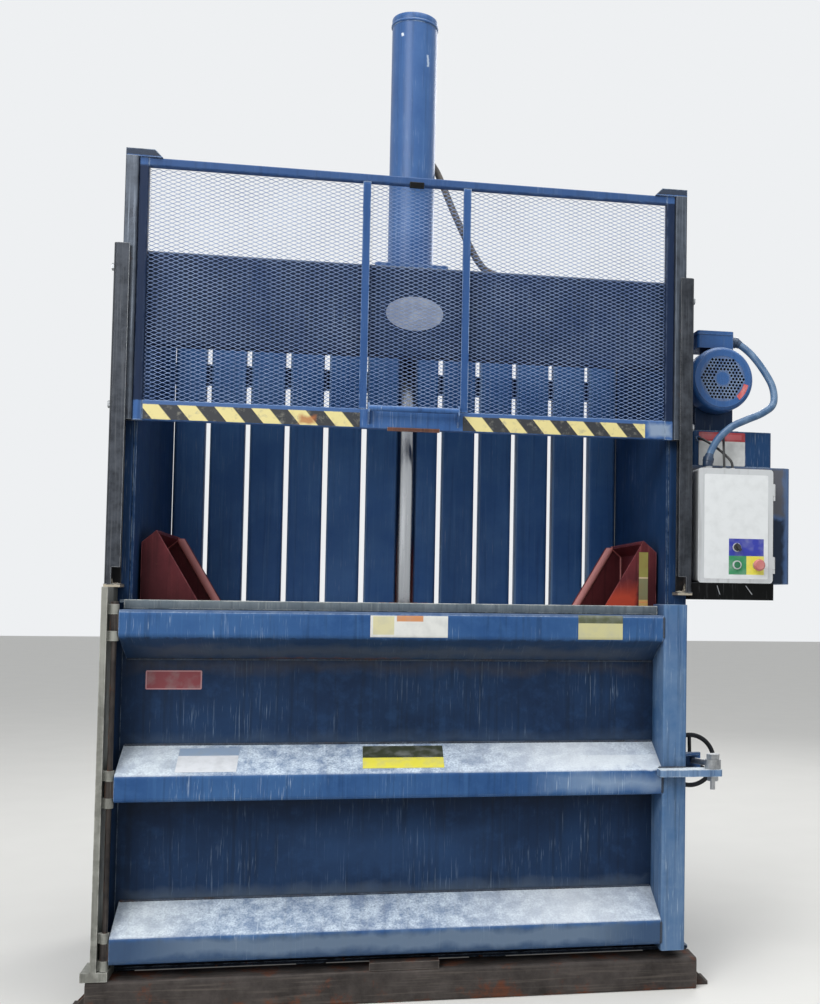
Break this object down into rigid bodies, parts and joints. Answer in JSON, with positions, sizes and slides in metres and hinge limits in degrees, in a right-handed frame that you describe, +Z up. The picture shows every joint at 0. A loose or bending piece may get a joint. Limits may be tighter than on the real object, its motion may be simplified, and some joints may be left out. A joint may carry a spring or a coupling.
{
  "type": "vertical recycling baler",
  "caption": "Vertical recycling baler: slatted steel chamber, ribbed swing door, sliding mesh gate, cylinder-driven red platen and a side power pack with controls.",
  "frame": {"origin": "on the floor at the middle of the chamber, centre of the four anchor holes", "axes": "+Z up, -Y out of the feed opening and the door, +X towards the power pack"},
  "size_m": [2.355, 1.14, 3.395],
  "materials": {
    "blue_paint": "weathered blue enamel, streaked and scratched",
    "red_paint": "faded red enamel, worn on its edges",
    "black_paint": "dull black enamel",
    "mesh_paint": "blue enamel worn to grey on the strands",
    "motor_paint": "dark grey enamel",
    "grey_enamel": "light grey powder coat",
    "bare_steel": "bare steel, mottled and greasy",
    "rusty_steel": "rusty brown steel",
    "chrome_rod": "polished chrome",
    "yellow_tape": "worn yellow vinyl tape",
    "black_plastic": "matt black moulding",
    "green_plastic": "green push button",
    "red_plastic": "faded red mushroom button",
    "conduit_pvc": "blue corrugated conduit",
    "hose_rubber": "black rubber"
  },
  "bodies": {
    "root": {"front_sill": "rusty_steel", "base_frame": "blue_paint", "anchor_feet": "rusty_steel", "floor_plate": "blue_paint", "floor_slats": "blue_paint", "side_wall_left": "blue_paint", "side_wall_right": "blue_paint", "back_slats": "blue_paint", "back_rails": "blue_paint", "header_panel": "blue_paint", "crosshead": "blue_paint", "guide_left": "bare_steel", "guide_right": "bare_steel", "frame_bolts": "bare_steel", "cylinder_tube": "blue_paint", "cylinder_cap": "blue_paint", "cylinder_gland": "bare_steel", "hinge_plate": "blue_paint", "hinge_rod": "bare_steel", "receiver": "blue_paint", "pack_shelf": "black_paint", "oil_tank": "blue_paint", "pump_box": "blue_paint", "motor_mount": "blue_paint", "motor_body": "motor_paint", "fan_cover": "motor_paint", "terminal_box": "blue_paint", "control_box": "grey_enamel", "conduit": "conduit_pvc", "hose_cap": "hose_rubber", "hose_gland": "hose_rubber", "control_cables": "hose_rubber"},
    "gate": {"gate_frame": "blue_paint", "gate_rails": "bare_steel", "gate_mesh": "mesh_paint", "gate_handle": "blue_paint", "hazard_strips": "yellow_tape", "gate_pads": "black_plastic"},
    "ram": {"piston": "bare_steel", "piston_rod": "chrome_rod", "rod_flange": "red_paint", "platen": "red_paint", "wing_left": "red_paint", "wing_right": "red_paint", "level_strip": "yellow_tape"},
    "door": {"door_skin": "blue_paint", "door_ribs": "blue_paint", "latch_post": "blue_paint", "door_knuckles": "bare_steel", "hasp": "blue_paint", "hasp_bolt": "bare_steel", "screw_eye": "bare_steel"},
    "latch": {"latch_screw": "bare_steel", "handwheel": "black_plastic"},
    "fan": {"motor_fan": "black_plastic"},
    "box_lid": {"box_door": "grey_enamel"},
    "selector_knob": {"selector": "black_plastic"},
    "start_push": {"start_button": "green_plastic"},
    "stop_push": {"stop_button": "red_plastic"},
    "tank_cap": {"filler_cap": "black_plastic"}
  },
  "joints": [
    {"name": "gate_slide", "type": "slide", "parent": "root", "child": "gate", "axis": [0, 0, 1], "range_m": [-0.51, 0]},
    {"name": "ram_slide", "type": "slide", "parent": "root", "child": "ram", "axis": [0, 0, 1], "range_m": [-0.12, 0.78]},
    {"name": "door_swing", "type": "hinge", "parent": "root", "child": "door", "pos_m": [-0.894, -0.547, 0.68], "axis": [0, 0, -1], "range_deg": [0, 110]},
    {"name": "latch_spin", "type": "hinge", "parent": "root", "child": "latch", "pos_m": [0.985, -0.59, 0.7313], "axis": [0, 0.9962, -0.0872], "continuous": true},
    {"name": "fan_spin", "type": "hinge", "parent": "root", "child": "fan", "pos_m": [1.091, -0.3, 2.049], "axis": [0, 1, 0], "continuous": true},
    {"name": "lid_swing", "type": "hinge", "parent": "root", "child": "box_lid", "pos_m": [1.242, -0.444, 1.5], "axis": [0, 0, 1], "range_deg": [0, 110]},
    {"name": "selector_turn", "type": "hinge", "parent": "box_lid", "child": "selector_knob", "pos_m": [1.107, -0.45, 1.446], "axis": [0, 1, 0], "range_deg": [0, 70]},
    {"name": "start_press", "type": "slide", "parent": "box_lid", "child": "start_push", "axis": [0, 1, 0], "range_m": [0, 0.004], "stiffness_N_per_m": 600},
    {"name": "stop_press", "type": "slide", "parent": "box_lid", "child": "stop_push", "axis": [0, 1, 0], "range_m": [0, 0.004]},
    {"name": "cap_turn", "type": "hinge", "parent": "root", "child": "tank_cap", "pos_m": [1.15, 0.07, 1.754], "axis": [0, 0, 1], "continuous": true}
  ]
}
